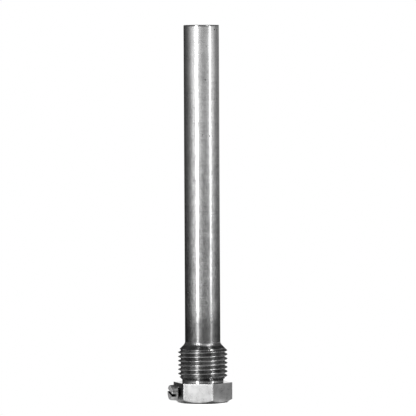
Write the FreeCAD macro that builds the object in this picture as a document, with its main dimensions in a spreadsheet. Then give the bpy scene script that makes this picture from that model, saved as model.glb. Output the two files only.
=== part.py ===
import FreeCAD, Part
import Sketcher
import os
import sys

# Thermowell with a clamp screw, in millimetres.
# It stands on its hexagon. The origin is the centre of the bore's mouth, +Z runs up the tube to its tip,
# and the clamp screw points along -X.

doc = FreeCAD.newDocument("thermowell")

# Driving dimensions: name, value, meaning
DIMENSIONS = [
    ("overall_length", 160.0, "hexagon's outer face to the tube's tip"),
    ("bore_diameter", 13.0, "bore for the sensor, in the boss and in the tube"),
    ("mouth_chamfer", 0.4, "45 degree chamfer at the bore's mouth"),
    ("across_flats", 22.0, "hexagon"),
    ("hex_height", 8.5, "hexagon with its chamfer"),
    ("hex_face_diameter", 20.5, "flat circle that the chamfer leaves on the hexagon's outer face"),
    ("hex_chamfer_angle", 30.0, "chamfer of the hexagon's corners, from the outer face"),
    ("shank_length", 15.75, "boss beyond the hexagon"),
    ("relief_diameter", 17.5, "undercut between the hexagon and the thread"),
    ("relief_width", 1.1, "straight length of the undercut"),
    ("relief_angle", 45.0, "flank of the undercut, from the axis"),
    ("nose_angle", 45.0, "lead-in cone, from the axis"),
    ("thread_major", 20.955, "G 1/2 parallel pipe thread, outside"),
    ("thread_pitch", 1.814, "14 threads to the inch"),
    ("thread_depth", 1.162, "crest to root"),
    ("flank_angle", 27.5, "half of the 55 degree thread form"),
    ("root_flat", 0.302, "flat at the root of the thread form, as wide as the crest that is left"),
    ("thread_start", 1.02, "hexagon to the middle of the groove where it enters the undercut"),
    ("thread_lip", 0.2, "how far the thread's cutting profile stands out of the crests"),
    ("tube_diameter", 15.0, "outside of the sheath tube"),
    ("tube_edge_chamfer", 0.4, "broken outer edge at the tip"),
    ("socket_depth", 12.0, "socket for the tube in the boss"),
    ("socket_clearance", 0.05, "radial gap round the tube in its socket"),
    ("plug_diameter", 13.6, "disc that closes the tip"),
    ("plug_thickness", 3.0, "disc that closes the tip"),
    ("plug_clearance", 0.02, "radial gap round the disc"),
    ("weld_leg", 0.7, "weld's leg across the end of the boss, which is as wide as the weld"),
    ("weld_height", 1.4, "weld's leg up the tube"),
    ("screw_diameter", 4.0, "M4 clamp screw, outside of its thread"),
    ("screw_length", 5.0, "shank under the head"),
    ("screw_point", 0.4, "45 degree chamfer at the shank's end"),
    ("screw_height", 4.4, "screw's axis above the hexagon's outer face"),
    ("screw_gap", 1.3, "hexagon flat to the head's underside, with the screw slack"),
    ("screw_clearance", 0.05, "radial gap round the shank in its hole"),
    ("hole_chamfer", 0.35, "45 degree chamfer at the hole's mouth"),
    ("head_diameter", 6.8, "cheese head"),
    ("head_height", 2.6, "cheese head"),
    ("head_taper", 5.0, "slope of the head's side, from its axis"),
    ("head_edge_chamfer", 0.3, "broken rim of the head"),
    ("slot_width", 1.2, "screwdriver slot"),
    ("slot_depth", 1.1, "screwdriver slot"),
    ("slot_fall", 18.0, "angle by which the slot falls towards -Y"),
    ("cut_margin", 1.0, "how far a cutting profile stands out of the blank"),
]

sizes = doc.addObject("Spreadsheet::Sheet", "sizes")
for row, (name, value, meaning) in enumerate(DIMENSIONS, start=1):
    sizes.set(f"A{row}", name)
    sizes.set(f"B{row}", str(value))
    sizes.set(f"C{row}", meaning)
    sizes.setAlias(f"B{row}", name)
doc.recompute()

# Radii and levels that more than one piece or feature shares
FLAT = "sizes.across_flats / 2"
BORE = "sizes.bore_diameter / 2"
TUBE = "sizes.tube_diameter / 2"
NOSE = "(sizes.tube_diameter / 2 + sizes.weld_leg)"
RELIEF = "sizes.relief_diameter / 2"
CREST = "sizes.thread_major / 2"
PLUG = "sizes.plug_diameter / 2"
SHANK = "sizes.screw_diameter / 2"
HEAD = "sizes.head_diameter / 2"
MARGIN = "sizes.cut_margin"
HEX_TOP = "sizes.hex_height"
BOSS_END = "(sizes.hex_height + sizes.shank_length)"
SOCKET_FLOOR = f"({BOSS_END} - sizes.socket_depth)"
TIP = "sizes.overall_length"
PLUG_FLOOR = "(sizes.overall_length - sizes.plug_thickness)"


# Sketches and features that several pieces need

SAME_PLACE = 1e-6


def value_of(expression):
    return float(sizes.evalExpression(expression))


def new_sketch(body, name, plane):
    sketch = body.newObject("Sketcher::SketchObject", name)
    support = next(item for item in body.Origin.OriginFeatures if item.Role == plane)
    sketch.AttachmentSupport = [(support, "")]
    sketch.MapMode = "FlatFace"
    return sketch


def place_point(sketch, edge, end, x, y):
    """Hold a point of an edge where two expressions put it. The text 0 holds it on the sketch's axis."""
    for kind, expression, axis in (("DistanceX", x, -2), ("DistanceY", y, -1)):
        if expression == "0":
            sketch.addConstraint(Sketcher.Constraint("PointOnObject", edge, end, axis))
        else:
            distance = Sketcher.Constraint(kind, -1, 1, edge, end, value_of(expression))
            number = sketch.addConstraint(distance)
            sketch.setExpression(f"Constraints[{number}]", expression)


def draw_outline(sketch, corners):
    """Straight edges round the corners, each corner a pair of expressions. Returns the edges' numbers."""
    points = [FreeCAD.Vector(value_of(x), value_of(y), 0) for x, y in corners]
    edges = []
    for start, end in zip(points, points[1:] + points[:1]):
        edges.append(sketch.addGeometry(Part.LineSegment(start, end)))
    for here, following in zip(edges, edges[1:] + edges[:1]):
        sketch.addConstraint(Sketcher.Constraint("Coincident", here, 2, following, 1))
    for edge, (x, y) in zip(edges, corners):
        place_point(sketch, edge, 1, x, y)
    return edges


def turn(body, name, kind, corners):
    """Revolution or Groove of an outline in the XZ plane, round the Z axis."""
    profile = new_sketch(body, f"{name}_profile", "XZ_Plane")
    draw_outline(profile, corners)
    feature = body.newObject(f"PartDesign::{kind}", name)
    feature.Profile = profile
    feature.ReferenceAxis = (profile, ["V_Axis"])
    feature.Angle = 360
    doc.recompute()
    return feature


def break_rim(body, name, base, level, radius, size):
    """Chamfer of the circular edge round Z that lies at a level and has a radius."""
    rims = [
        f"Edge{number}"
        for number, edge in enumerate(base.Shape.Edges, start=1)
        if edge.Curve.TypeId == "Part::GeomCircle"
        and abs(edge.Curve.Center.z - value_of(level)) < SAME_PLACE
        and abs(edge.Curve.Radius - value_of(radius)) < SAME_PLACE
    ]
    chamfer = body.newObject("PartDesign::Chamfer", name)
    chamfer.Base = (base, rims)
    chamfer.setExpression("Size", size)
    doc.recompute()


# Boss: hexagon head, undercut, threaded shank and lead-in nose, bored through

boss = doc.addObject("PartDesign::Body", "hex_boss")

HALF_SIDE = f"{FLAT} * tan(30)"
CORNER = f"{FLAT} / cos(30)"
hexagon = new_sketch(boss, "hexagon", "XY_Plane")
draw_outline(hexagon, [
    (FLAT, f"-{HALF_SIDE}"),
    (FLAT, HALF_SIDE),
    ("0", CORNER),
    (f"-{FLAT}", HALF_SIDE),
    (f"-{FLAT}", f"-{HALF_SIDE}"),
    ("0", f"-{CORNER}"),
])
hex_head = boss.newObject("PartDesign::Pad", "hex_head")
hex_head.Profile = hexagon
hex_head.setExpression("Length", HEX_TOP)
doc.recompute()

RELIEF_TOP = f"({HEX_TOP} + sizes.relief_width)"
turn(boss, "shank", "Revolution", [
    ("0", "0"),
    (RELIEF, "0"),
    (RELIEF, RELIEF_TOP),
    (CREST, f"{RELIEF_TOP} + ({CREST} - {RELIEF}) / tan(sizes.relief_angle)"),
    (CREST, f"{BOSS_END} - ({CREST} - {NOSE}) / tan(sizes.nose_angle)"),
    (NOSE, BOSS_END),
    ("0", BOSS_END),
])

FACE = "sizes.hex_face_diameter / 2"
OUTSIDE = f"({CORNER} + {MARGIN})"
turn(boss, "corner_chamfer", "Groove", [
    (FACE, "0"),
    (OUTSIDE, "0"),
    (OUTSIDE, f"({OUTSIDE} - {FACE}) * tan(sizes.hex_chamfer_angle)"),
])

SOCKET = f"{TUBE} + sizes.socket_clearance"
turn(boss, "stepped_bore", "Groove", [
    ("0", f"-{MARGIN}"),
    (f"{BORE} + sizes.mouth_chamfer + {MARGIN}", f"-{MARGIN}"),
    (BORE, "sizes.mouth_chamfer"),
    (BORE, SOCKET_FLOOR),
    (SOCKET, SOCKET_FLOOR),
    (SOCKET, f"{BOSS_END} + {MARGIN}"),
    ("0", f"{BOSS_END} + {MARGIN}"),
])

# Cross hole for the clamp screw, turned round the screw's axis
SCREW_AXIS = "sizes.screw_height"
HOLE_TOP = f"{SCREW_AXIS} + {SHANK} + sizes.screw_clearance"
hole_profile = new_sketch(boss, "screw_hole_profile", "XZ_Plane")
hole_edges = draw_outline(hole_profile, [
    ("0", SCREW_AXIS),
    ("0", HOLE_TOP),
    (f"-{FLAT} + sizes.hole_chamfer", HOLE_TOP),
    (f"-{FLAT} - {MARGIN}", f"{HOLE_TOP} + sizes.hole_chamfer + {MARGIN}"),
    (f"-{FLAT} - {MARGIN}", SCREW_AXIS),
])
screw_hole = boss.newObject("PartDesign::Groove", "screw_hole")
screw_hole.Profile = hole_profile
screw_hole.ReferenceAxis = (hole_profile, [f"Edge{hole_edges[-1] + 1}"])
screw_hole.Angle = 360
doc.recompute()

# Thread: the space between two flanks, cut along a right-hand helix that starts over the screw hole,
# in the undercut, and leaves through the nose
ROOT = f"({CREST} - sizes.thread_depth)"
LIP = f"({CREST} + sizes.thread_lip)"
CUT_START = f"({HEX_TOP} + sizes.thread_start)"
HALF_ROOT = "sizes.root_flat / 2"
HALF_LIP = f"({HALF_ROOT} + ({LIP} - {ROOT}) * tan(sizes.flank_angle))"
groove = new_sketch(boss, "thread_groove", "XZ_Plane")
draw_outline(groove, [
    (f"-{ROOT}", f"{CUT_START} + {HALF_ROOT}"),
    (f"-{ROOT}", f"{CUT_START} - {HALF_ROOT}"),
    (f"-{LIP}", f"{CUT_START} - {HALF_LIP}"),
    (f"-{LIP}", f"{CUT_START} + {HALF_LIP}"),
])
thread = boss.newObject("PartDesign::SubtractiveHelix", "thread")
thread.Profile = groove
thread.ReferenceAxis = (groove, ["V_Axis"])
thread.Mode = "pitch-height-angle"
thread.setExpression("Pitch", "sizes.thread_pitch")
thread.setExpression("Height", f"{BOSS_END} - {CUT_START}")
doc.recompute()


# Sheath tube: seated on the socket's floor, with a stepped seat for the plug in its tip

tube = doc.addObject("PartDesign::Body", "sheath_tube")

PLUG_SEAT = f"({PLUG} + sizes.plug_clearance)"
tube_wall = turn(tube, "wall", "Revolution", [
    (BORE, SOCKET_FLOOR),
    (TUBE, SOCKET_FLOOR),
    (TUBE, TIP),
    (PLUG_SEAT, TIP),
    (PLUG_SEAT, PLUG_FLOOR),
    (BORE, PLUG_FLOOR),
])
break_rim(tube, "tip_edge", tube_wall, TIP, TUBE, "sizes.tube_edge_chamfer")


# End plug: a disc on the tube's inner step, flush with the tip

plug = doc.addObject("PartDesign::Body", "end_plug")

turn(plug, "disc", "Revolution", [
    ("0", PLUG_FLOOR),
    (PLUG, PLUG_FLOOR),
    (PLUG, TIP),
    ("0", TIP),
])


# Shoulder weld: a fillet ring between the end of the boss and the tube

weld = doc.addObject("PartDesign::Body", "shoulder_weld")

turn(weld, "fillet_ring", "Revolution", [
    (TUBE, BOSS_END),
    (NOSE, BOSS_END),
    (TUBE, f"{BOSS_END} + sizes.weld_height"),
])


# Clamp screw: modelled upright on its underside, then laid along -X into the cross hole

screw = doc.addObject("PartDesign::Body", "clamp_screw")

HEAD_HEIGHT = "sizes.head_height"
HEAD_TOP = f"({HEAD} - {HEAD_HEIGHT} * tan(sizes.head_taper))"
screw_blank = turn(screw, "blank", "Revolution", [
    ("0", "-sizes.screw_length"),
    (f"{SHANK} - sizes.screw_point", "-sizes.screw_length"),
    (SHANK, "-sizes.screw_length + sizes.screw_point"),
    (SHANK, "0"),
    (HEAD, "0"),
    (HEAD_TOP, HEAD_HEIGHT),
    ("0", HEAD_HEIGHT),
])
break_rim(screw, "head_rim", screw_blank, HEAD_HEIGHT, HEAD_TOP, "sizes.head_edge_chamfer")

slot_sketch = new_sketch(screw, "slot_outline", "XY_Plane")
slot_sketch.AttachmentOffset.Rotation.Axis = FreeCAD.Vector(0, 0, 1)
slot_sketch.setExpression("AttachmentOffset.Rotation.Angle", "-sizes.slot_fall")
slot_sketch.setExpression("AttachmentOffset.Base.z", HEAD_HEIGHT)
draw_outline(slot_sketch, [
    ("-sizes.slot_width / 2", "-sizes.head_diameter"),
    ("sizes.slot_width / 2", "-sizes.head_diameter"),
    ("sizes.slot_width / 2", "sizes.head_diameter"),
    ("-sizes.slot_width / 2", "sizes.head_diameter"),
])
slot = screw.newObject("PartDesign::Pocket", "slot")
slot.Profile = slot_sketch
slot.setExpression("Length", "sizes.slot_depth")
doc.recompute()

screw.Placement.Rotation = FreeCAD.Rotation(FreeCAD.Vector(0, 1, 0), -90)
screw.setExpression("Placement.Base.x", f"-({FLAT} + sizes.screw_gap)")
screw.setExpression("Placement.Base.z", SCREW_AXIS)
doc.recompute()


# Check every object, then write each piece

for item in doc.Objects:
    if "Invalid" in item.State or "Error" in item.State:
        sys.exit(f"{item.Label}: {item.State}")

os.makedirs("parts", exist_ok=True)
for piece in (boss, tube, plug, weld, screw):
    shape = piece.Shape
    if shape.isNull() or not shape.isValid() or len(shape.Solids) != 1:
        sys.exit(f"{piece.Label}: not one valid solid")
    shape.exportStep(f"parts/{piece.Label}.step")
    print(f"{piece.Label}: {shape.Volume:.1f} mm3, {len(shape.Faces)} faces")
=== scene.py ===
import math

import bmesh
import bpy
import numpy as np
from mathutils import Matrix, Vector


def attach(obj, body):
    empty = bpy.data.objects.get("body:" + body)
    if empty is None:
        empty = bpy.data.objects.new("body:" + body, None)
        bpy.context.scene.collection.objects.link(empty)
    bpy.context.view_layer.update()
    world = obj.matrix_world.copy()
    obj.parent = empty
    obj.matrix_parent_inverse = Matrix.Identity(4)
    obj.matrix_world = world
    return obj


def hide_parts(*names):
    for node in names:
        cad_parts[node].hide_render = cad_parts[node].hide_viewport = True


# Thermowell on its hexagon: turned boss with a pipe thread, drawn tube, end plug, weld and clamp screw.
# Blender's metres, in the CAD's frame. Sizes written here are millimetres where nothing else is said.

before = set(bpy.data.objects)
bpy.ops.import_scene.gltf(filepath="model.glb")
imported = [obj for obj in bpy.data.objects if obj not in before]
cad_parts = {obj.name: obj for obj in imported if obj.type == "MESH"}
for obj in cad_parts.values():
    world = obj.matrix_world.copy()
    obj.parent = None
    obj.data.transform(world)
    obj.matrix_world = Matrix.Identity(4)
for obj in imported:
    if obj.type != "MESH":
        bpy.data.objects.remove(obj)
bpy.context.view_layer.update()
mm = 0.001
screwHeight = 4.4  # the clamp screw's axis over the outer face


# Points at radius and angle round the vertical axis, at a height, each an array of one shape.
def polar(radius, angle, height):
    return np.stack([radius * np.cos(angle), radius * np.sin(angle), height + 0 * angle], -1)


# Equal angles of a full turn, as one row.
def anglesRound(columns):
    return np.linspace(0, 2 * math.pi, columns, endpoint=False)[None, :]


# Quads of a grid, row by row. Each row is a closed ring, and closed rows join the last ring to the first.
def gridFaces(rows, columns, closedRows=False):
    row = np.arange(rows if closedRows else rows - 1)[:, None]
    column = np.arange(columns)[None, :]
    nextRow = (row + 1) % rows
    nextColumn = (column + 1) % columns
    corners = [row * columns + column, row * columns + nextColumn,
               nextRow * columns + nextColumn, nextRow * columns + column]
    return np.stack([np.broadcast_to(c, (row.size, column.size)) for c in corners], -1).reshape(-1, 4).tolist()


# Open profile with its inner corners rounded, or a row of such profiles. At each corner an arc of the radius touches
# both sides, a tangent length of radius / tan(half the angle) away, limited to under half of the shorter side.
def roundCorners(corners, radii, steps=4):
    corners = np.asarray(corners, float)
    single = corners.ndim == 2
    if single:
        corners = corners[:, None, :]
    inner = corners[1:-1]
    before, after = corners[:-2] - inner, corners[2:] - inner
    lengthBefore = np.linalg.norm(before, axis=-1, keepdims=True)
    lengthAfter = np.linalg.norm(after, axis=-1, keepdims=True)
    before, after = before / lengthBefore, after / lengthAfter
    half = np.arccos(np.clip((before * after).sum(-1, keepdims=True), -1, 1)) / 2
    radii = np.asarray(radii[1:-1], float)[:, None, None] + 0 * half
    tangent = np.minimum(radii / np.tan(half), 0.45 * np.minimum(lengthBefore, lengthAfter))
    radius = tangent * np.tan(half)
    bisector = before + after
    bisector /= np.linalg.norm(bisector, axis=-1, keepdims=True)
    centre = inner + bisector * radius / np.sin(half)
    rows = [corners[0]]
    for i in range(len(inner)):
        if radii[i].max() == 0:
            rows.append(inner[i])
            continue
        start = inner[i] + before[i] * tangent[i] - centre[i]
        end = inner[i] + after[i] * tangent[i] - centre[i]
        sweep = math.pi - 2 * half[i]
        for t in np.linspace(0, 1, steps):  # turn from one touching point to the other
            rows.append(centre[i] + (np.sin((1 - t) * sweep) * start + np.sin(t * sweep) * end) / np.sin(sweep))
    rows = np.array(rows + [corners[-1]])
    return rows[:, 0] if single else rows


# Even steps between two numbers, without both ends.
def spread(low, high, count):
    return np.linspace(low, high, count + 2)[1:-1]


# A mesh object at the origin from arrays of points in millimetres and lists of faces. Points closer together than
# merge become one. With outwards the faces are turned to point out of the closed shape.
def makeObject(name, points, faces, merge=0.0, outwards=False):
    mesh = bpy.data.meshes.new(name)
    mesh.from_pydata((points.reshape(-1, 3) * mm).tolist(), [], faces)
    if merge or outwards:
        work = bmesh.new()
        work.from_mesh(mesh)
        if merge:
            bmesh.ops.remove_doubles(work, verts=work.verts, dist=merge * mm)
        if outwards:
            bmesh.ops.recalc_face_normals(work, faces=work.faces)
        work.to_mesh(mesh)
        work.free()
    mesh.validate()
    obj = bpy.data.objects.new(name, mesh)
    bpy.context.scene.collection.objects.link(obj)
    return obj


# Smooth shading with sharp edges, the body that the piece rides on, the CAD part that it hides, and its material.
def finishPiece(obj, body, node, material):
    obj.data.shade_smooth()
    obj.data.set_sharp_from_angle(angle=math.radians(40))
    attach(obj, body)
    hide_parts(node)
    obj.data.materials.clear()
    obj.data.materials.append(material)


# Triangles from one middle point to each side of a ring of points.
def fan(middle, first, count):
    ring = np.arange(count)
    return np.stack([np.full(count, middle), first + ring, first + (ring + 1) % count], -1).tolist()


# Mesh object from a grid of rings round the upright axis, closed by fans to the axis at the first ring and the last.
# All points then go through place.
def closedRings(name, grid, place=np.asarray):
    rows, columns = grid.shape[:2]
    count = rows * columns
    ends = [[0, 0, grid[0, 0, 2]], [0, 0, grid[-1, 0, 2]]]
    points = place(np.vstack([grid.reshape(-1, 3), ends]))
    fans = fan(count, 0, columns) + fan(count + 1, count - columns, columns)
    return makeObject(name, points, gridFaces(rows, columns) + fans, outwards=True)


# Boolean difference, applied, and the cutter is deleted.
def cutWith(obj, cutter):
    cut = obj.modifiers.new("cut", "BOOLEAN")
    cut.operation = "DIFFERENCE"
    cut.solver = "EXACT"
    cut.object = cutter
    graph = bpy.context.evaluated_depsgraph_get()
    mesh = bpy.data.meshes.new_from_object(obj.evaluated_get(graph))
    obj.modifiers.clear()
    old = obj.data
    obj.data = mesh
    mesh.name = old.name
    bpy.data.meshes.remove(old)
    bpy.data.objects.remove(cutter)


# Surface of revolution. Rows follow the profile of radius and height, columns are equal angles round Z.
def turned(profile, columns):
    profile = np.asarray(profile, float).reshape(-1, 2)
    return polar(profile[:, :1], anglesRound(columns), profile[:, 1:])


# A value from 0 to 1 on each vertex, for the materials.
def writeMask(obj, name, values):
    attribute = obj.data.attributes.new(name, "FLOAT", "POINT")
    attribute.data.foreach_set("value", np.clip(values, 0, 1).astype(np.float32))


def vertexPlaces(obj):
    places = np.zeros(len(obj.data.vertices) * 3, np.float32)
    obj.data.vertices.foreach_get("co", places)
    return places.reshape(-1, 3).astype(float) / mm


camera = {
    "azimuth": -19.65,  # degrees round Z, from looking along +Y
    "pitch": 2.74,  # looks down
    "roll": -0.275,
    "offset": (-2.13, 1977.0, -82.35),  # object's origin in the camera's frame: right, ahead, up
    "focal": 4653.7,  # pixels of the photograph
    "frame": 416,  # pixels
    "sensor": 36.0,  # millimetres
}


def placeCamera():
    data = bpy.data.cameras.new("view")
    data.sensor_width = camera["sensor"]
    data.lens = camera["focal"] / camera["frame"] * camera["sensor"]
    data.clip_start, data.clip_end = 0.05, 20
    obj = bpy.data.objects.new("view", data)
    bpy.context.scene.collection.objects.link(obj)
    roll = Matrix.Rotation(math.radians(camera["roll"]), 3, "Y")
    pitch = Matrix.Rotation(math.radians(camera["pitch"]), 3, "X")
    turnRound = Matrix.Rotation(math.radians(camera["azimuth"]), 3, "Z") @ (roll @ pitch).transposed()
    place = turnRound @ (-Vector(camera["offset"]) * mm)
    facing = turnRound @ Matrix.Rotation(math.pi / 2, 3, "X")
    obj.matrix_world = Matrix.Translation(place) @ facing.to_4x4()
    bpy.context.scene.camera = obj


placeCamera()
print("camera placed")


studio = {
    # soft boxes face the part: place in degrees from the camera's side (+ to image right) and over the floor,
    # size and distance in metres, level as radiance
    "distance": 1.35,
    "target": 0.08,  # height of the middle that they face
    "leftBox": {"side": -31.5, "rise": 18.0, "width": 0.33, "height": 1.3, "level": 3.7},
    "rightBox": {"side": 58.0, "rise": 18.0, "width": 0.20, "height": 1.3, "level": 2.3},
    # narrow strips higher up, for the thread's crests and flanks
    "leftStrip": {"side": -31.5, "rise": 50.0, "width": 0.08, "height": 0.6, "level": 8.0},
    "rightStrip": {"side": 60.0, "rise": 50.0, "width": 0.09, "height": 0.6, "level": 18.0},
    "topBox": {"side": -3.0, "rise": 46.0, "width": 2.7, "height": 0.3, "level": 0.7},
    # radiance of the room round the part at even steps of 15 degrees, from -180 to 180
    "room": [0.18, 0.03, 0.04, 0.08, 0.11, 0.15, 0.28, 0.62, 1.42, 1.90, 1.45, 1.55, 0.90,
             0.62, 0.74, 1.12, 1.60, 1.32, 0.66, 0.43, 0.28, 0.26, 0.38, 0.34, 0.26],
    "roomPeak": 2.0,
    "zenith": 0.06,
    "walls": (1.0, 7.0),  # degrees over the horizon where the room fades into the zenith
    "edge": (-4.2, -2.2),  # degrees: the room darkens under the horizon to the share "below"
    "below": 0.07,
    "floorward": (-15.0, -8.0),  # degrees: further down it is lit again, on both sides of the part
    "lower": 0.45,
    # white card right behind the part, in degrees: half its width, and where it starts and ends
    "card": {"half": 4.5, "foot": -3.0, "top": 11.0},
}

floorPaper = {
    "radius": 20.0,
    "gap": 0.01,  # under the part
    "colour": 0.82,
    "fade": (0.58, 0.97),  # shares of the radius where the paper turns into plain white
    "rings": 23,
    "columns": 96,
    "contact": 1.4,  # reach of the dark line of contact
    "contactShade": (0.02, 0.24),  # open sky from which the paper is lifted towards white
    "lift": 0.9,
    "liftInMetal": 0.3,
    "whiteElsewhere": 0.4,  # brightness of the plain white for light that neither camera nor metal sees
}


# Unit vector on the floor at an azimuth from the camera's side, + to image right.
def direction(azimuth):
    angle = math.radians(azimuth + camera["azimuth"])
    return Vector((math.sin(angle), -math.cos(angle), 0))


def softBox(name, box):
    data = bpy.data.lights.new(name, "AREA")
    data.shape = "RECTANGLE"
    data.size, data.size_y = box["width"], box["height"]
    data.energy = box["level"] * math.pi * box["width"] * box["height"]
    obj = bpy.data.objects.new(name, data)
    bpy.context.scene.collection.objects.link(obj)
    rise = math.radians(box["rise"])
    way = direction(box["side"]) * math.cos(rise) + Vector((0, 0, math.sin(rise)))
    obj.rotation_euler = way.to_track_quat("Z", "Y").to_euler()
    obj.location = way * studio["distance"] + Vector((0, 0, studio["target"]))


# Short calls for building a node tree.
class Nodes:

    def __init__(self, tree):
        self.tree = tree

    def add(self, kind, inputs=None, **settings):
        node = self.tree.nodes.new(kind)
        for key, value in settings.items():
            setattr(node, key, value)
        for key, value in (inputs or {}).items():
            if isinstance(value, bpy.types.NodeSocket):
                self.tree.links.new(value, node.inputs[key])
            else:
                node.inputs[key].default_value = value
        return node

    def math(self, operation, first, second=0.0, third=0.0):
        return self.add("ShaderNodeMath", {0: first, 1: second, 2: third}, operation=operation).outputs[0]

    def vector(self, operation, first, second=(0, 0, 0)):
        node = self.add("ShaderNodeVectorMath", {0: first, 1: second}, operation=operation)
        return node.outputs["Value" if operation in ("DOT_PRODUCT", "LENGTH") else "Vector"]

    def mapRange(self, value, fromLow, fromHigh, toLow=0.0, toHigh=1.0, smooth=False):
        return self.add("ShaderNodeMapRange", {0: value, 1: fromLow, 2: fromHigh, 3: toLow, 4: toHigh},
                        interpolation_type="SMOOTHSTEP" if smooth else "LINEAR").outputs[0]

    def noise(self, vector, scale, detail=3.0, rough=0.55):
        return self.add("ShaderNodeTexNoise", {"Vector": vector, "Scale": scale, "Detail": detail,
                                               "Roughness": rough}).outputs["Fac"]

    # noise spread over the whole range from 0 to 1
    def stretched(self, vector, scale, detail=3.0, rough=0.55):
        return self.mapRange(self.noise(vector, scale, detail, rough), 0.32, 0.68)

    def mix(self, factor, first, second):
        return self.add("ShaderNodeMix", {0: factor, 2: first, 3: second}, data_type="FLOAT").outputs[0]

    def heightOf(self, vector):
        return self.add("ShaderNodeSeparateXYZ", {0: vector}).outputs[2]

    # a value that writeMask left on the mesh
    def mask(self, name):
        return self.add("ShaderNodeAttribute", attribute_name=name).outputs["Fac"]

    # 1 for what the camera sees directly or in metal or glass
    def shown(self):
        path = self.add("ShaderNodeLightPath").outputs
        seen = self.math("MAXIMUM", path["Is Camera Ray"], path["Is Glossy Ray"])
        return self.math("MAXIMUM", seen, path["Is Transmission Ray"])


# The room's light at a share of the way round, from 0 to 1.
def roomLevel(n, share):
    levels = studio["room"]
    ramp = n.add("ShaderNodeValToRGB", {0: share})
    ramp.color_ramp.interpolation = "B_SPLINE"
    elements = ramp.color_ramp.elements
    while len(elements) < len(levels):
        elements.new(0.5)
    for i, level in enumerate(levels):
        elements[i].position = i / (len(levels) - 1)
        elements[i].color = (level / studio["roomPeak"],) * 3 + (1,)  # a ramp holds no level over 1
    return n.math("MULTIPLY", ramp.outputs[0], studio["roomPeak"])


def makeWorld():
    world = bpy.data.worlds.new("studio")
    bpy.context.scene.world = world
    world.use_nodes = True
    world.node_tree.nodes.clear()
    n = Nodes(world.node_tree)
    toCamera, toRight = direction(0), direction(90)
    way = n.add("ShaderNodeTexCoord").outputs["Generated"]
    ahead = n.vector("DOT_PRODUCT", way, tuple(toCamera))
    side = n.vector("DOT_PRODUCT", way, tuple(toRight))
    up = n.heightOf(way)
    azimuth = n.math("ARCTAN2", side, ahead)
    share = n.mapRange(azimuth, -math.pi, math.pi)
    turnedShare = n.math("FRACT", n.math("ADD", share, 0.5))
    room, opposite = roomLevel(n, share), roomLevel(n, turnedShare)
    edgeLow, edgeHigh = (math.sin(math.radians(angle)) for angle in studio["edge"])
    around = n.math("MULTIPLY", room, n.mapRange(up, edgeLow, edgeHigh, studio["below"], 1, smooth=True))
    lower = n.math("MULTIPLY", n.math("MAXIMUM", room, opposite), studio["lower"])
    deepest, downwards = (math.sin(math.radians(angle)) for angle in studio["floorward"])
    around = n.mix(n.mapRange(up, downwards, deepest, smooth=True), around, lower)
    wallTop, ceiling = (math.sin(math.radians(angle)) for angle in studio["walls"])
    high = n.mapRange(up, wallTop, ceiling, smooth=True)
    room = n.mix(high, around, studio["zenith"])
    # the card behind the part, with soft edges, which only the metal shows
    card = {key: math.sin(math.radians(angle)) for key, angle in studio["card"].items()}
    behind = n.math("LESS_THAN", ahead, 0.0)
    across = n.mapRange(n.math("ABSOLUTE", side), card["half"] * 1.25, card["half"] * 0.8, smooth=True)
    overFoot = n.mapRange(up, card["foot"] - 0.02, card["foot"], smooth=True)
    underTop = n.mapRange(up, card["top"] + 0.04, card["top"], smooth=True)
    behind = n.math("MULTIPLY", n.math("MULTIPLY", behind, across), n.math("MULTIPLY", overFoot, underTop))
    path = n.add("ShaderNodeLightPath").outputs
    inMetal = n.math("MULTIPLY", n.math("MAXIMUM", path["Is Glossy Ray"], path["Is Transmission Ray"]), behind)
    white = n.math("MAXIMUM", path["Is Camera Ray"], inMetal)
    strength = n.mix(white, room, 1.0)
    background = n.add("ShaderNodeBackground", {"Color": (1, 1, 1, 1), "Strength": strength})
    n.add("ShaderNodeOutputWorld", {0: background.outputs[0]})


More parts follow.
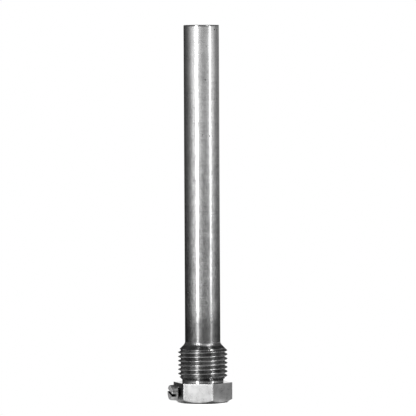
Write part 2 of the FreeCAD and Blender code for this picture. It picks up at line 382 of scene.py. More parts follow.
# Disc of rings. Its diffuse part, which takes the shadow, fades out towards its rim into plain white.
def makeFloor():
    f = floorPaper
    rings = np.linspace(0, 1, f["rings"] + 1)[1:, None] * f["radius"]
    angle = anglesRound(f["columns"])
    points = np.vstack([polar(rings, angle, 0 * rings).reshape(-1, 3), [[0, 0, 0]]]) - [0, 0, f["gap"]]
    outer = [face[::-1] for face in gridFaces(f["rings"], f["columns"])]
    floor = makeObject("floor", points, outer + fan(len(points) - 1, 0, f["columns"]))
    material = bpy.data.materials.new("paleFloor")
    material.use_nodes = True
    material.node_tree.nodes.clear()
    n = Nodes(material.node_tree)
    place = n.add("ShaderNodeTexCoord").outputs["Object"]
    fadeStart, fadeEnd = (share * f["radius"] * mm for share in f["fade"])
    fade = n.mapRange(n.vector("LENGTH", place), fadeStart, fadeEnd, smooth=True)
    diffuse = n.add("ShaderNodeBsdfDiffuse", {"Color": (f["colour"],) * 3 + (1,)})
    openSky = n.add("ShaderNodeAmbientOcclusion", {"Distance": f["contact"] * mm}, samples=8).outputs["AO"]
    # plain white to the camera, and less bright in the metal right above it
    toCamera = n.add("ShaderNodeLightPath").outputs["Is Camera Ray"]
    seen = n.mix(toCamera, n.math("MULTIPLY", n.shown(), f["liftInMetal"]), 1.0)
    lifted = n.math("MULTIPLY", seen, n.mapRange(openSky, *f["contactShade"], 0, f["lift"]))
    lift = n.add("ShaderNodeEmission", {"Color": (1, 1, 1, 1), "Strength": lifted})
    paper = n.add("ShaderNodeAddShader", {0: diffuse.outputs[0], 1: lift.outputs[0]})
    white = n.add("ShaderNodeEmission", {"Color": (1, 1, 1, 1), "Strength": n.mix(seen, f["whiteElsewhere"], 1.0)})
    blend = n.add("ShaderNodeMixShader", {0: fade, 1: paper.outputs[0], 2: white.outputs[0]})
    # seen from below the floor is clear, so that the part's outer face and bore show
    under = n.add("ShaderNodeNewGeometry").outputs["Backfacing"]
    clear = n.add("ShaderNodeBsdfTransparent")
    sided = n.add("ShaderNodeMixShader", {0: under, 1: blend.outputs[0], 2: clear.outputs[0]})
    n.add("ShaderNodeOutputMaterial", {0: sided.outputs[0]})
    floor.data.materials.append(material)


for name in ("leftBox", "rightBox", "leftStrip", "rightStrip", "topBox"):
    softBox(name, studio[name])
makeWorld()
makeFloor()
bpy.context.scene.view_settings.view_transform = "Standard"
print("studio lit")


def newGroup(name, inputs, outputs):
    tree = bpy.data.node_groups.new(name, "ShaderNodeTree")
    for socket, kind, value in inputs:
        made = tree.interface.new_socket(name=socket, in_out="INPUT", socket_type=kind)
        if value is not None:
            made.default_value = value
    for socket, kind in outputs:
        tree.interface.new_socket(name=socket, in_out="OUTPUT", socket_type=kind)
    n = Nodes(tree)
    return n, n.add("NodeGroupInput").outputs, tree


# Streaks along one direction: noise on a place that is squeezed along the streaks.
def streakGroup():
    n, given, tree = newGroup("fineStreaks", [
        ("Vector", "NodeSocketVector", None),
        ("Squeeze", "NodeSocketVector", (1, 1, 0.03)),
        ("Scale", "NodeSocketFloat", 2500.0),
    ], [("Fine", "NodeSocketFloat"), ("Broad", "NodeSocketFloat")])
    place = n.vector("MULTIPLY", given["Vector"], given["Squeeze"])
    fine = n.stretched(place, given["Scale"], 4, 0.65)
    broad = n.stretched(place, n.math("MULTIPLY", given["Scale"], 0.22), 3, 0.5)
    n.add("NodeGroupOutput", {"Fine": fine, "Broad": broad})
    return tree


# Lathe marks: noise that changes only with the distance from the axis and with height.
def ringGroup():
    n, given, tree = newGroup("latheMarks", [
        ("Vector", "NodeSocketVector", None),
        ("Scale", "NodeSocketFloat", 6000.0),
    ], [("Marks", "NodeSocketFloat")])
    flat = n.vector("MULTIPLY", given["Vector"], (1, 1, 0))
    radius = n.vector("LENGTH", flat)
    height = n.heightOf(given["Vector"])
    wobble = n.vector("MULTIPLY", given["Vector"], (0.02, 0.02, 0))
    place = n.vector("ADD", n.add("ShaderNodeCombineXYZ", {0: radius, 2: height}).outputs[0], wobble)
    marks = n.stretched(place, given["Scale"], 3, 0.6)
    n.add("NodeGroupOutput", {"Marks": marks})
    return tree


# Soft stains, small dark specks and fine scratches that run every way.
def soilGroup():
    n, given, tree = newGroup("stainsAndSpecks", [
        ("Vector", "NodeSocketVector", None),
        ("Stain Scale", "NodeSocketFloat", 260.0),
        ("Speck Scale", "NodeSocketFloat", 700.0),
        ("Scratch Scale", "NodeSocketFloat", 900.0),
    ], [("Stains", "NodeSocketFloat"), ("Specks", "NodeSocketFloat"), ("Scratches", "NodeSocketFloat")])
    stains = n.stretched(given["Vector"], given["Stain Scale"], 3, 0.5)
    cells = n.add("ShaderNodeTexVoronoi", {"Vector": given["Vector"], "Scale": given["Speck Scale"]})
    rare = n.mapRange(n.noise(given["Vector"], n.math("MULTIPLY", given["Speck Scale"], 0.31), 2), 0.55, 0.7)
    specks = n.math("MULTIPLY", n.mapRange(cells.outputs["Distance"], 0.1, 0.28, 1, 0, smooth=True), rare)
    lines = None
    for turn, cut in ((0.5, 0.54), (1.9, 0.55), (2.7, 0.56)):
        mapped = n.add("ShaderNodeMapping", {"Vector": given["Vector"], "Rotation": (turn, turn * 1.7, turn * 0.6),
                                             "Scale": (1, 0.05, 1)}).outputs[0]
        bent = n.noise(mapped, given["Scratch Scale"], 2, 0.5)
        line = n.mapRange(n.math("ABSOLUTE", n.math("SUBTRACT", bent, cut)), 0.0, 0.012, 1, 0)
        lines = line if lines is None else n.math("MAXIMUM", lines, line)
    n.add("NodeGroupOutput", {"Stains": stains, "Specks": specks, "Scratches": lines})
    return tree


groups = {"streaks": streakGroup(), "rings": ringGroup(), "soilAndShade": soilGroup()}


def placeGroup(n, name, **inputs):
    named = {key.replace("_", " "): value for key, value in inputs.items()}
    return n.add("ShaderNodeGroup", named, node_tree=groups[name]).outputs


bumpDepth = 0.006  # millimetres


# A metal whose build function returns its brightness, roughness, height and share of bare metal. Fine lathe grooves
# round the upright axis stretch a highlight across themselves.
def steel(name, build, grooves=0.0):
    material = bpy.data.materials.new(name)
    material.use_nodes = True
    tree = material.node_tree
    tree.nodes.clear()
    n = Nodes(tree)
    place = n.add("ShaderNodeTexCoord").outputs["Object"]
    tone, rough, height, metallic = build(n, place)
    colour = n.add("ShaderNodeCombineColor", {0: tone, 1: tone, 2: tone}).outputs[0]
    bump = n.add("ShaderNodeBump", {"Height": height, "Strength": 1.0, "Distance": bumpDepth * mm})
    shader = n.add("ShaderNodeBsdfPrincipled", {
        "Base Color": colour, "Roughness": rough, "Normal": bump.outputs[0], "Metallic": metallic})
    if grooves:
        shader.inputs["Anisotropic"].default_value = grooves
        shader.inputs["Anisotropic Rotation"].default_value = 0.25
        n.tree.links.new(n.vector("CROSS_PRODUCT", (0, 0, 1), place), shader.inputs["Tangent"])
    n.add("ShaderNodeOutputMaterial", {0: shader.outputs[0]})
    return material


# Sum of a plain number and of pairs of a socket and its weight.
def blendOf(n, *terms):
    total = terms[0]
    for socket, weight in terms[1:]:
        total = n.math("MULTIPLY_ADD", socket, weight, total)
    return total


tubeSteel = {
    "tone": 0.3,
    "rough": 0.13,
    "darkenedLow": 31.5,  # millimetres: the tube is darker from the weld up to here
    "darkenedHigh": 41.0,  # fading out up to here
    "darkenedShare": 0.5,
    "pitted": (1.35, -7.38, 38.5),  # middle of a rough patch on the right side
    "pittedSize": (1.5, 1.5, 7.0),  # its half sizes
}


# Drawn tube: lengthwise streaks, soft mottles and faint rings, darker near the weld, and one pitted patch.
def buildTubeSteel(n, place):
    streaks = placeGroup(n, "streaks", Vector=place, Squeeze=(1, 1, 0.035), Scale=2300.0)
    mottle = placeGroup(n, "streaks", Vector=place, Squeeze=(1, 1, 0.45), Scale=850.0)
    soilAndShade = placeGroup(n, "soilAndShade", Vector=place, Stain_Scale=180.0, Speck_Scale=520.0, Scratch_Scale=500.0)
    grain = n.stretched(place, 2400, 2, 0.6)
    rings = placeGroup(n, "rings", Vector=place, Scale=1500.0)
    height = n.heightOf(place)
    # darker towards the weld, fading out upwards
    nearWeld = n.mapRange(height, tubeSteel["darkenedHigh"] * mm, tubeSteel["darkenedLow"] * mm, smooth=True)
    middle, size = (tuple(c * mm for c in tubeSteel[key]) for key in ("pitted", "pittedSize"))
    fromPatch = n.vector("DIVIDE", n.vector("SUBTRACT", place, middle), size)
    patch = n.mapRange(n.vector("LENGTH", fromPatch), 1.0, 0.5, smooth=True)
    pits = n.math("MULTIPLY", n.stretched(place, 1500, 2, 0.6), patch)
    clean = blendOf(n, tubeSteel["tone"], (streaks["Fine"], 0.12), (grain, 0.1), (rings["Marks"], 0.06),
                    (mottle["Fine"], 0.22), (mottle["Broad"], 0.06), (soilAndShade["Stains"], 0.08),
                    (soilAndShade["Specks"], -0.3), (soilAndShade["Scratches"], 0.03))
    tone = n.math("MULTIPLY", clean, n.mapRange(nearWeld, 0, 1, 1, tubeSteel["darkenedShare"]))
    rough = blendOf(n, tubeSteel["rough"], (streaks["Broad"], 0.05), (mottle["Fine"], 0.06),
                    (soilAndShade["Specks"], 0.2), (nearWeld, 0.02))
    bumps = blendOf(n, 0.0, (streaks["Fine"], 0.4), (mottle["Fine"], 0.9), (mottle["Broad"], 1.0), (grain, 0.3),
                    (rings["Marks"], 0.3), (soilAndShade["Specks"], -1.5), (pits, 5.0))
    return tone, rough, bumps, 1.0


bossSteel = {
    "turned": {"tone": 0.4, "rough": 0.12, "roughOnTurned": 0.09},
    "flats": {"tone": 0.56, "rough": 0.28, "roughOnTurned": 0.0},
}


# Turned and milled steel: lathe marks, scratches, bright edges that are rubbed wear and partly a painted highlight,
# and painted shade in the thread and other recesses.
def buildBossSteel(n, place, finish):
    rings = placeGroup(n, "rings", Vector=place, Scale=5200.0)
    soilAndShade = placeGroup(n, "soilAndShade", Vector=place, Stain_Scale=240.0, Speck_Scale=900.0, Scratch_Scale=400.0)
    grain = n.stretched(place, 2600, 3, 0.6)
    edge = n.mask("edge")
    paintedShade = n.mask("paintedShade")
    turnedPart = n.mask("turned")
    marks = n.math("MULTIPLY", n.math("SUBTRACT", rings["Marks"], 0.5), turnedPart)
    # the edge mask brightens as rubbed wear and painted highlight; the other mask darkens as painted shade
    tone = blendOf(n, finish["tone"], (soilAndShade["Stains"], 0.27), (grain, 0.02), (marks, 0.16), (soilAndShade["Specks"], -0.15),
                   (soilAndShade["Scratches"], 0.03), (edge, 0.3), (paintedShade, -0.55))
    rough = blendOf(n, finish["rough"], (turnedPart, finish["roughOnTurned"]), (soilAndShade["Stains"], 0.04),
                    (soilAndShade["Scratches"], -0.03), (edge, -0.05), (paintedShade, 0.03))
    bumps = blendOf(n, 0.0, (marks, 1.6), (soilAndShade["Stains"], 0.8), (soilAndShade["Scratches"], -0.1), (soilAndShade["Specks"], -0.3))
    return tone, rough, bumps, 1.0


def buildTurnedSteel(n, place):
    return buildBossSteel(n, place, bossSteel["turned"])


def buildFlatSteel(n, place):
    return buildBossSteel(n, place, bossSteel["flats"])


def buildWeldSteel(n, place):
    rings = placeGroup(n, "rings", Vector=place, Scale=3500.0)
    soilAndShade = placeGroup(n, "soilAndShade", Vector=place, Stain_Scale=700.0, Speck_Scale=1200.0)
    tone = blendOf(n, 0.52, (soilAndShade["Stains"], 0.12), (soilAndShade["Specks"], -0.2), (rings["Marks"], 0.06))
    rough = blendOf(n, 0.25, (soilAndShade["Stains"], 0.08), (rings["Marks"], 0.03))
    return tone, rough, blendOf(n, 0.0, (rings["Marks"], 0.4), (soilAndShade["Stains"], 0.7)), 1.0


def buildScrewSteel(n, place):
    # the screw's axis takes the place of the upright one, so that the lathe marks run round it
    centred = n.add("ShaderNodeMapping", {"Vector": place, "Location": (0, 0, -screwHeight * mm)}).outputs[0]
    swapped = n.add("ShaderNodeMapping", {"Vector": centred, "Rotation": (0, math.pi / 2, 0)}).outputs[0]
    rings = placeGroup(n, "rings", Vector=swapped, Scale=4200.0)
    soilAndShade = placeGroup(n, "soilAndShade", Vector=place, Stain_Scale=600.0, Speck_Scale=1100.0, Scratch_Scale=1100.0)
    edge = n.mask("edge")
    paintedShade = n.mask("paintedShade")
    face = n.mask("face")
    # painted light: the face paler; rims and slot lips brighter as rubbed wear and painted highlight; slot, shank
    # and the head's upper side darker as painted shade
    tone = blendOf(n, 0.36, (face, 0.14), (soilAndShade["Stains"], 0.34), (rings["Marks"], 0.08), (soilAndShade["Specks"], -0.2),
                   (soilAndShade["Scratches"], 0.08), (edge, 0.22), (paintedShade, -0.75))
    rough = blendOf(n, 0.2, (soilAndShade["Stains"], 0.08), (edge, -0.06), (paintedShade, 0.3), (face, 0.1))
    bumps = blendOf(n, 0.0, (rings["Marks"], 0.6), (soilAndShade["Stains"], 1.2), (soilAndShade["Scratches"], -0.8))
    return tone, rough, bumps, blendOf(n, 0.75, (face, -0.5))  # dull plating, less metallic and paler on the face, as painted light


def buildPlugSteel(n, place):
    rings = placeGroup(n, "rings", Vector=place, Scale=3800.0)
    soilAndShade = placeGroup(n, "soilAndShade", Vector=place, Stain_Scale=500.0, Speck_Scale=900.0, Scratch_Scale=800.0)
    tone = blendOf(n, 0.54, (rings["Marks"], 0.08), (soilAndShade["Stains"], 0.08), (soilAndShade["Specks"], -0.2),
                   (soilAndShade["Scratches"], 0.06))
    rough = blendOf(n, 0.36, (soilAndShade["Stains"], 0.08), (rings["Marks"], 0.05))
    return tone, rough, blendOf(n, 0.0, (rings["Marks"], 1.0), (soilAndShade["Stains"], 0.4)), 1.0


finishes = {
    "tube": steel("drawnTubeSteel", buildTubeSteel),
    "boss": steel("turnedBossSteel", buildTurnedSteel, grooves=1.0),
    "flats": steel("hexagonFlatSteel", buildFlatSteel),
    "weld": steel("weldSteel", buildWeldSteel),
    "screw": steel("screwSteel", buildScrewSteel),
    "plug": steel("facedPlugSteel", buildPlugSteel, grooves=0.7),
}
print("finishes made")


threadForm = {"pitch": 1.814, "major": 20.955, "depth": 1.162, "halfAngle": 27.5, "roundShare": 0.137329}


# Radius of a rounded thread form at an offset along the axis from the middle of a groove: an arc at the root,
# a straight flank at the half angle, and an arc at the crest that both touch it.
def roundedThread(offset, form):
    pitch, angle = form["pitch"], math.radians(form["halfAngle"])
    arc = form["roundShare"] * pitch
    reach, rise = arc * math.cos(angle), arc * (1 - math.sin(angle))
    t = np.abs((offset / pitch + 0.5) % 1 - 0.5) * pitch
    root = form["major"] / 2 - form["depth"]
    crest = form["major"] / 2
    slope = (form["depth"] - 2 * rise) / (pitch / 2 - 2 * reach)
    atRoot = root + arc - np.sqrt(np.maximum(arc**2 - np.minimum(t, reach) ** 2, 0))
    fromCrest = pitch / 2 - t
    atCrest = crest - arc + np.sqrt(np.maximum(arc**2 - np.minimum(fromCrest, reach) ** 2, 0))
    flank = root + rise + slope * (t - reach)
    return np.where(t < reach, atRoot, np.where(fromCrest < reach, atCrest, flank))


# The lower of two radii, with the corner between them rounded off.
def softLower(first, second, softness):
    gap = np.clip(0.5 + 0.5 * (second - first) / softness, 0, 1)
    return second + (first - second) * gap - softness * gap * (1 - gap)


# Offsets of the rows in one pitch from the middle of a groove, closer together on the arcs.
def threadRows(form, arcSteps, flankSteps):
    reach = form["roundShare"] * form["pitch"] * math.cos(math.radians(form["halfAngle"]))
    half = form["pitch"] / 2
    return np.concatenate([
        np.linspace(-reach, reach, arcSteps, endpoint=False),
        np.linspace(reach, half - reach, flankSteps, endpoint=False),
        np.linspace(half - reach, half + reach, arcSteps, endpoint=False),
        np.linspace(half + reach, 2 * half - reach, flankSteps, endpoint=False),
    ])


# Threaded surface whose rows climb with the right-hand helix, so that crests and roots lie on grid lines. Height of
# a row is its offset plus pitch times the share of a turn, held between bottom and top. The radius there is the
# lower of the thread form and the outline. A row meets the one a pitch higher where the turn closes.
def helicalGrid(form, angles, start, bottom, top, outline, softness, arcSteps=5, flankSteps=4):
    pitch = form["pitch"]
    offsets = threadRows(form, arcSteps, flankSteps)
    perPitch = len(offsets)
    turns = int((top - bottom) / pitch) + 6
    first = start - pitch * (math.ceil((start - bottom) / pitch) + 2)
    rows = first + (np.arange(turns)[:, None] * pitch + offsets[None, :]).reshape(-1, 1)
    height = np.clip(rows + pitch * angles[None, :] / (2 * math.pi), bottom, top)
    phase = height - start - pitch * angles[None, :] / (2 * math.pi)
    radius = softLower(roundedThread(phase, form), outline(height), softness)
    points = polar(radius, angles[None, :] + 0 * height, height)
    rowCount, columns = height.shape
    row = np.arange(rowCount - 1)[:, None]
    column = np.arange(columns)[None, :]
    shift = np.where(column == columns - 1, perPitch, 0)
    nextColumn = (column + 1) % columns
    corners = [row * columns + column, (row + shift) * columns + nextColumn,
               (row + 1 + shift) * columns + nextColumn, (row + 1) * columns + column + 0 * shift]
    faces = np.stack([np.broadcast_to(c, (rowCount - 1, columns)) for c in corners], -1)
    inside = (row + 1 + shift) < rowCount
    faces = faces[np.broadcast_to(inside, faces.shape[:2])]
    levels = height.reshape(-1)[faces]
    flat = (levels.max(1) - levels.min(1)) < 1e-9  # rows held at an end
    return points.reshape(-1, 3), faces[~flat]


boss = {
    "acrossFlats": 22.0,
    "cornerRound": 0.22,
    "hexHeight": 8.5,
    "faceRadius": 10.25,  # outer face inside the chamfer
    "cornerChamfer": 30.0,  # degrees from the outer face
    "bore": 6.5,
    "mouth": 0.4,  # chamfer of the bore
    "relief": 8.75,  # radius of the undercut
    "reliefTop": 9.6,
    "end": 24.25,
    "nose": 8.2,  # radius at the end
    "socket": 7.55,
    "socketFloor": 12.25,
    "threadStart": 9.52,  # middle of the groove on the screw's side
    "threadEnd": 24.13,
    "hole": 2.05,
    "holeChamfer": 0.35,
    "softness": 0.05,  # rounds the thread into the cones at its ends
}

# what the boss's masks hold
bossWearAndShade = {
    "edgeReach": 0.22,  # of the bright edges: rubbed wear and painted highlight
    "thread": 0.48,  # painted shade in the thread's roots
    "threadUnshaded": 1.8,  # length before the end without it
    # painted shade on the nose under the weld
    "nose": 0.3,
    "noseLength": 2.5,
    "inner": 0.35,  # painted shade in bore and socket
    # painted shade on the chamfer over the floor
    "chamfer": 0.6,
    "rim": 0.6,  # painted shade along the flats' lower edges, next to the floor
    "rimReach": 0.3,
    "rimTop": 3.0,
    "fainter": 0.35,  # lathe marks on the nose and round the bottom
}


# Angles round the boss, close together at the hexagon's corners, and the rounded hexagon's radius at each.
# Off a corner by d the radius is c cos d + sqrt(r^2 - (c sin d)^2) on the round of radius r about c, and half the
# width across flats over cos(30 - d) on the flat.
def hexagonColumns():
    half, arc = boss["acrossFlats"] / 2, boss["cornerRound"]
    centre = (half - arc) / math.cos(math.radians(30))
    reach = math.degrees(math.atan2(arc * 0.5, centre + arc * math.cos(math.radians(30))))
    near = reach * np.array([0, 0.35, 0.68, 1.0, 1.6, 2.6, 4.4, 7.0])
    side = np.concatenate([near, np.linspace(near[-1], 30, 17)[1:]])
    off = np.concatenate([-side[:0:-1], side[:-1]])  # one sector, corner in the middle
    spin = np.radians(off)
    onRound = centre * np.cos(spin) + np.sqrt(np.maximum(arc**2 - (centre * np.sin(spin)) ** 2, 0))
    onFlat = half / np.cos(math.radians(30) - np.abs(spin))
    radius = np.where(np.abs(off) <= reach, onRound, onFlat)
    angles = np.radians((np.arange(6)[:, None] * 60 + 30 + off[None, :]).reshape(-1))
    radii = np.tile(radius, 6)
    order = np.argsort(angles % (2 * math.pi))
    return (angles % (2 * math.pi))[order], radii[order]


# Ring of profiles, one for each angle: bore, outer face, chamfer, hexagon, undercut, thread, nose and socket.
def makeBoss():
    angles, hexRadius = hexagonColumns()
    b = boss
    full = np.ones_like(angles)
    chamferTop = (hexRadius - b["faceRadius"]) * math.tan(math.radians(b["cornerChamfer"]))
    corners = [
        (b["nose"] - (b["threadEnd"] - b["end"]), b["threadEnd"], 0),
        (b["nose"], b["end"], 0.1),
        (b["socket"], b["end"], 0.08),
        (b["socket"], b["socketFloor"], 0.1),
        (b["bore"], b["socketFloor"], 0.1),
        (b["bore"], b["mouth"], 0.15),
        (b["bore"] + b["mouth"], 0, 0.15),
        (b["faceRadius"], 0, 0.25),
        (hexRadius, chamferTop, 0.16),
        (hexRadius, b["hexHeight"], 0.14),
        (b["relief"], b["hexHeight"], 0.1),
        (b["relief"], b["reliefTop"], 0),
    ]
    outline = np.array([[full * r, full * z] for r, z, arc in corners]).transpose(0, 2, 1)
    profile = roundCorners(outline, [arc for r, z, arc in corners], steps=5)
    # more rows along the long runs, so that the masks on the flats are even
    rows = [profile[0]]
    for here, following in zip(profile[:-1], profile[1:]):
        run = np.linalg.norm(following - here, axis=-1).max()
        for share in np.linspace(0, 1, int(run / 0.9) + 2)[1:]:
            rows.append(here + (following - here) * (1 - math.cos(math.pi * share)) / 2)
    profile = np.array(rows)
    shell = polar(profile[..., 0], angles[None, :] + 0 * profile[..., 0], profile[..., 1])
    shellFaces = gridFaces(len(shell), len(angles))

    def envelope(height):
        up = b["relief"] + (height - b["reliefTop"])
        down = b["nose"] + (b["end"] - height)
        crest = threadForm["major"] / 2 + 0.01
        return np.minimum(np.minimum(up, down), crest)

    start = b["threadStart"] - threadForm["pitch"] / 2  # the groove's middle at angle 0
    threads, threadFaces = helicalGrid(threadForm, angles, start, b["reliefTop"], b["threadEnd"],
                                       envelope, b["softness"])
    # the ends sit exactly on the shell's end circles
    low = np.abs(threads[:, 2] - b["reliefTop"]) < 1e-9
    high = np.abs(threads[:, 2] - b["threadEnd"]) < 1e-9
    around = np.arctan2(threads[:, 1], threads[:, 0])
    radial = np.hypot(threads[:, 0], threads[:, 1])
    radial = np.where(low, b["relief"], np.where(high, profile[0, 0, 0], radial))
    threads = polar(radial, around, threads[:, 2])
    points = np.vstack([shell.reshape(-1, 3), threads])
    faces = shellFaces + (threadFaces + shell.shape[0] * shell.shape[1]).tolist()
    obj = makeObject("boss", points, faces, merge=1e-4, outwards=True)
    cutWith(obj, screwHoleCutter())
    maskBoss(obj)
    finishPiece(obj, "well", "hex_boss", finishes["boss"])
    obj.data.materials.append(finishes["flats"])
    obj.data.polygons.foreach_set("material_index", onFlats(obj.data).astype(np.int32))


# True for the faces of the hexagon's flats: upright, and as far from the axis as a flat along their own normal.
def onFlats(mesh):
    centres, normals = np.zeros((2, len(mesh.polygons) * 3))
    mesh.polygons.foreach_get("center", centres)
    mesh.polygons.foreach_get("normal", normals)
    centres, normals = centres.reshape(-1, 3) / mm, normals.reshape(-1, 3)
    outwards = (centres * normals)[:, :2].sum(1)
    upright = (np.abs(normals[:, 2]) < 0.2) & (centres[:, 2] < boss["hexHeight"])
    return upright & (outwards > boss["acrossFlats"] / 2 - 0.1)


# Turns a shape made round +Z into one round the clamp screw's axis, +Z becoming -X.
def alongScrew(points):
    x, y, z = points[..., 0], points[..., 1], points[..., 2]
    return np.stack([-z, y, x + screwHeight], -1)


def screwHoleCutter():
    flat, hole, chamfer = boss["acrossFlats"] / 2, boss["hole"], boss["holeChamfer"]
    profile = roundCorners([
        (hole, 3.0), (hole, flat - chamfer), (hole + chamfer, flat), (hole + chamfer + 1.0, flat + 1.0),
    ], [0, 0.1, 0, 0])
    return closedRings("holeCutter", turned(profile, 64), alongScrew)


# Masks: edge near the hexagon's edges, a brightening that is rubbed wear and painted highlight; painted shade in the
# thread's roots, on the chamfer, nose and lower edges and in bore and socket; turned off the flats.
def maskBoss(obj):
    b, w = boss, bossWearAndShade
    places = vertexPlaces(obj)
    radius, height = np.hypot(places[:, 0], places[:, 1]), places[:, 2]
    onThread = (height > b["reliefTop"]) & (height < b["end"]) & (radius > b["socket"] + 0.3)
    onNose = onThread & (height > b["end"] - w["noseLength"]) & (height + radius > b["end"] + b["nose"] - 0.05)
    depth = np.clip((threadForm["major"] / 2 - radius) / threadForm["depth"], 0, 1)
    fold = np.abs(np.degrees(np.arctan2(places[:, 1], places[:, 0])) % 60 - 30)  # degrees off the nearest corner
    cornerGap = b["acrossFlats"] / math.cos(math.radians(30)) * np.sin(np.radians(fold) / 2)
    edgeGap = np.minimum(cornerGap, np.abs(height - b["hexHeight"]))
    onHead = (height < b["hexHeight"] + 0.01) & (radius > b["faceRadius"])
    overChamfer = height - (radius - b["faceRadius"]) * math.tan(math.radians(b["cornerChamfer"]))
    nearChamfer = (overChamfer < 0.05) | (radius < b["faceRadius"] + 0.2)
    # bright edges: rubbed wear and painted highlight
    writeMask(obj, "edge", np.where(onHead & ~nearChamfer, np.exp(-edgeGap / w["edgeReach"]), 0))
    onChamfer = (overChamfer < 0.09) & (radius > b["faceRadius"] - 0.3) & (height < b["hexHeight"] - 1)
    # painted shade: darker in bore and socket, on the chamfer, in the thread's roots, on the nose and along the
    # flats' lower edges
    paintedShade = np.where(radius < b["socket"] + 0.05, w["inner"], w["chamfer"] * onChamfer)
    paintedShade = np.where(onThread, w["thread"] * depth**1.5 * (height < b["end"] - w["threadUnshaded"]), paintedShade)
    paintedShade = np.where(onNose, w["nose"], paintedShade)
    lowerRim = w["rim"] * np.exp(-np.maximum(overChamfer, 0) / w["rimReach"])
    writeMask(obj, "paintedShade", np.where(onHead & ~onChamfer & (height < w["rimTop"]), lowerRim, paintedShade))
    onFlat = onHead & (overChamfer > 0.05) & (height < b["hexHeight"] - 0.1)
    writeMask(obj, "turned", np.where(onFlat, 0, np.where(onNose | (height < b["reliefTop"]), w["fainter"], 1)))


makeBoss()
print("boss made")


tube = {
    "outer": 7.5, "inner": 6.5, "foot": 12.25, "tip": 160.0, "tipRound": 0.45,
    "seat": 6.82, "seatFloor": 157.0,  # for the plug
    "wave": 0.012,
}
plug = {"radius": 6.8, "foot": 157.0, "tip": 160.0}
weld = {
    "base": 24.25,
    "leg": 0.7,  # out along the nose
    "height": 1.4,
    "hollow": 0.16,  # sag of the face
    "ripple": 0.02,
    "ripples": 52,
}


# Turned wall. Its outer radius is the tube's plus a slow wave, as drawing leaves: a sum of three sines, each of some
# whole turns round the tube plus the height over a length, faded out at both ends.
def makeTube():
    t = tube
    rise = np.linspace(t["foot"] + 0.4, t["tip"] - 1.2, 74)
    outer = np.stack([np.full_like(rise, t["outer"]), rise], -1)
    ends = roundCorners([
        (t["outer"], t["tip"] - 1.0), (t["outer"], t["tip"]), (t["seat"], t["tip"]),
        (t["seat"], t["seatFloor"]), (t["inner"], t["seatFloor"]), (t["inner"], t["foot"]),
        (t["outer"], t["foot"]), (t["outer"], t["foot"] + 0.3),
    ], [0, t["tipRound"], 0.06, 0.05, 0.05, 0.1, 0.15, 0], steps=6)
    profile = np.vstack([outer, ends])
    columns = 144
    angle = anglesRound(columns)
    radius, height = profile[:, :1] + 0 * angle, profile[:, 1:] + 0 * angle
    wave = (np.sin(3 * angle + height / 17) * 0.5 + np.sin(2 * angle - height / 29 + 1.3) * 0.7
            + np.sin(5 * angle + height / 9) * 0.22)
    inMiddle = np.clip((height - 28) / 6, 0, 1) * np.clip((t["tip"] - 2 - height) / 6, 0, 1)
    onOutside = radius > t["outer"] - 1e-6
    radius = radius + np.where(onOutside, t["wave"] * wave * inMiddle, 0)
    points = polar(radius, angle + 0 * radius, height)
    obj = makeObject("tube", points, gridFaces(len(profile), columns, closedRows=True))
    finishPiece(obj, "well", "sheath_tube", finishes["tube"])


def makePlug():
    p = plug
    rings = spread(0, p["radius"] - 0.4, 12)
    face = [(r, p["tip"]) for r in rings[::-1]]
    under = [(r, p["foot"]) for r in rings]
    rim = roundCorners([
        (p["radius"] - 0.3, p["foot"]), (p["radius"], p["foot"]),
        (p["radius"], p["tip"]), (p["radius"] - 0.3, p["tip"]),
    ], [0, 0.08, 0.1, 0], steps=5)
    obj = closedRings("plug", turned(np.vstack([under, rim, face]), 128))
    finishPiece(obj, "well", "end_plug", finishes["plug"])


# Ring with a hollow face from the tube to the nose: straight legs, and a face that sags by an arc of a sine,
# with faint ripples round it.
def makeWeld():
    w, t = weld, tube
    share = np.linspace(0, 1, 13)[:, None]
    columns = 312
    angle = anglesRound(columns)
    radius = t["outer"] + w["leg"] * (1 - share) + 0 * angle
    height = w["base"] + w["height"] * share + 0 * angle
    length = math.hypot(w["leg"], w["height"])
    sag = -w["hollow"] * np.sin(math.pi * share) + w["ripple"] * np.sin(math.pi * share) * np.sin(
        w["ripples"] * angle + 1.2 * np.sin(3 * angle) + 3 * share)
    radius = radius + sag * w["height"] / length
    height = height + sag * w["leg"] / length
    back = spread(0, 1, 2)[:, None]
    inside = np.stack([np.broadcast_to(t["outer"] + 0 * angle, (2, columns)),
                       w["base"] + w["height"] * (1 - back) + 0 * angle], -1)
    foot = np.stack([t["outer"] + w["leg"] * np.array([[0.0], [0.5]]) + 0 * angle,
                     np.broadcast_to(w["base"] + 0 * angle, (2, columns))], -1)
    profile = np.concatenate([np.stack([radius, height], -1), inside, foot])
    points = polar(profile[..., 0], angle + 0 * profile[..., 0], profile[..., 1])
    obj = makeObject("weld", points, gridFaces(len(profile), columns, closedRows=True))
    finishPiece(obj, "well", "shoulder_weld", finishes["weld"])


makeTube()
makePlug()
makeWeld()
print("tube, plug and weld made")


screw = {
    "under": 12.3,  # head's underside from the bore's axis
    "length": 5.0, "radius": 2.0, "point": 0.4, "head": 3.4, "headHeight": 2.6, "taper": 5.0,
    "rim": 0.32, "slotWidth": 1.2, "slotDepth": 1.1, "slotRound": 0.1, "slotFall": 18.0,
    "seatGap": 0.01,  # head stays this far off the flat when the screw is right in
    "neck": 0.06,  # plain length under the head
    "runOut": (0.5, 0.1),  # lengths under the head between which the thread fades out
    "softness": 0.03,
}
screwThread = {"pitch": 0.7, "major": 4.0, "depth": 0.4, "halfAngle": 30.0, "roundShare": 0.12}
# what the screw's masks hold: how far the bright rims and the slot's lips reach, rubbed wear and painted highlight,
# and how dark the painted shade is
screwWearAndShade = {"rimReach": 0.3, "lipReach": 0.15, "upperSide": 0.6, "shank": 0.9}


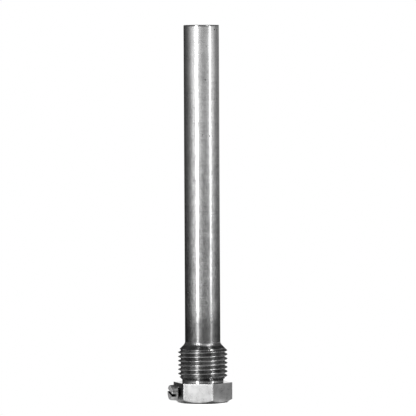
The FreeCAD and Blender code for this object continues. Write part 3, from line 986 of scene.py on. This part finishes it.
def makeScrew():
    s = screw
    top = s["head"] - s["headHeight"] * math.tan(math.radians(s["taper"]))
    low, high = s["under"] - s["length"], s["under"] + s["headHeight"]
    seat = s["under"] + s["seatGap"]
    shank = np.arange(low, s["under"] - s["neck"], screwThread["pitch"] / 14)
    outline = np.minimum(s["radius"] - s["point"] + (shank - low), s["radius"])
    # the shank's rings, then the head
    fadeStart, fadeEnd = s["runOut"]
    runOut = np.clip((shank - (s["under"] - fadeStart)) / (fadeStart - fadeEnd), 0, 1)
    angle = anglesRound(96)
    phase = shank[:, None] - low - screwThread["pitch"] * angle / (2 * math.pi)
    threaded = roundedThread(phase, screwThread)
    threaded = threaded + (s["radius"] - threaded) * runOut[:, None]
    shankRadius = softLower(threaded, outline[:, None] + 0 * angle, s["softness"])
    head = roundCorners([
        (s["radius"], s["under"] - s["neck"]), (s["radius"], seat), (s["head"], seat),
        (top, high), (top - 1.0, high),
    ], [0, 0, 0.12, s["rim"], 0], steps=7)
    face = np.stack([spread(0.3, top - 1.0, 5)[::-1], np.full(5, high)], -1)
    head = np.vstack([head, face])
    radius = np.vstack([shankRadius, head[:, :1] + 0 * angle])
    height = np.vstack([shank[:, None] + 0 * angle, head[:, 1:] + 0 * angle])
    obj = closedRings("clampScrew", polar(radius, angle + 0 * radius, height), alongScrew)
    cutWith(obj, slotCutter(high))
    finishPiece(obj, "clamp_screw", "clamp_screw", finishes["screw"])
    maskScrew(obj, high)


# A bar across the head whose section flares at the face, so that the slot's rims come out rounded.
def slotCutter(high):
    s = screw
    half, arc, floor = s["slotWidth"] / 2, s["slotRound"], high - s["slotDepth"]
    flare = np.linspace(0, math.pi / 2, 6)
    right = [(half + arc * (1 - math.cos(a)), high - arc + arc * math.sin(a)) for a in flare]
    section = [(-half + 0.06, floor), (half - 0.06, floor), (half, floor + 0.06)] + right
    section += [(half + arc, high + 1), (-half - arc, high + 1)]
    section += [(-across, level) for across, level in right[::-1]] + [(-half, floor + 0.06)]
    section = np.array(section)
    reach = s["head"] + 1
    ends = np.array([-reach, reach])
    count = len(section)
    x, y, z = (np.broadcast_to(line, (2, count)) for line in (section[:, 0], ends[:, None], section[:, 1]))
    # the slot runs along the head's level diameter, turned so that its -Y end falls
    fall = math.radians(-s["slotFall"])
    bar = np.stack([x * math.cos(fall) - y * math.sin(fall), x * math.sin(fall) + y * math.cos(fall), z], -1)
    faces = gridFaces(2, count) + [list(range(count)), list(range(2 * count - 1, count - 1, -1))]
    return makeObject("slotCutter", alongScrew(bar.reshape(-1, 3)), faces, outwards=True)


# Masks: edge on the rims and lips, rubbed wear and painted highlight; painted shade in the slot, on the shank and on
# the head's upper side; face on its face, painted paler as painted light.
def maskScrew(obj, high):
    s, w = screw, screwWearAndShade
    places = vertexPlaces(obj)
    out = -places[:, 0]
    y, z = places[:, 1], places[:, 2] - screwHeight
    radius = np.hypot(y, z)
    fall = math.radians(-s["slotFall"])
    across = z * math.cos(fall) + y * math.sin(fall)
    top = s["head"] - s["headHeight"] * math.tan(math.radians(s["taper"]))
    rim = np.exp(-np.hypot(radius - top, out - high) / w["rimReach"])
    lip = np.exp(-np.hypot(np.abs(across) - s["slotWidth"] / 2, out - high) / w["lipReach"])
    inSlot = (np.abs(across) < s["slotWidth"] / 2 + 0.02) & (out < high - 0.06) & (out > high - s["slotDepth"] - 0.1)
    # rims and slot lips: rubbed wear and painted highlight
    writeMask(obj, "edge", np.maximum(rim, lip))
    # the face: painted paler, as painted light
    writeMask(obj, "face", (out > high - 0.08) & ~inSlot)
    onSide = (radius > top - 0.1) & (out > s["under"] - 0.1) & (out < high - 0.15)
    # painted shade, darker towards the top of the head's side
    soilAndShade = np.where(onSide, w["upperSide"] * np.clip(z / radius / 0.3 - 0.7, 0, 1), 0)
    writeMask(obj, "paintedShade", np.where(inSlot, 1.0, np.where(out < s["under"] - 0.1, w["shank"], soilAndShade)))


makeScrew()
print("clamp screw made")
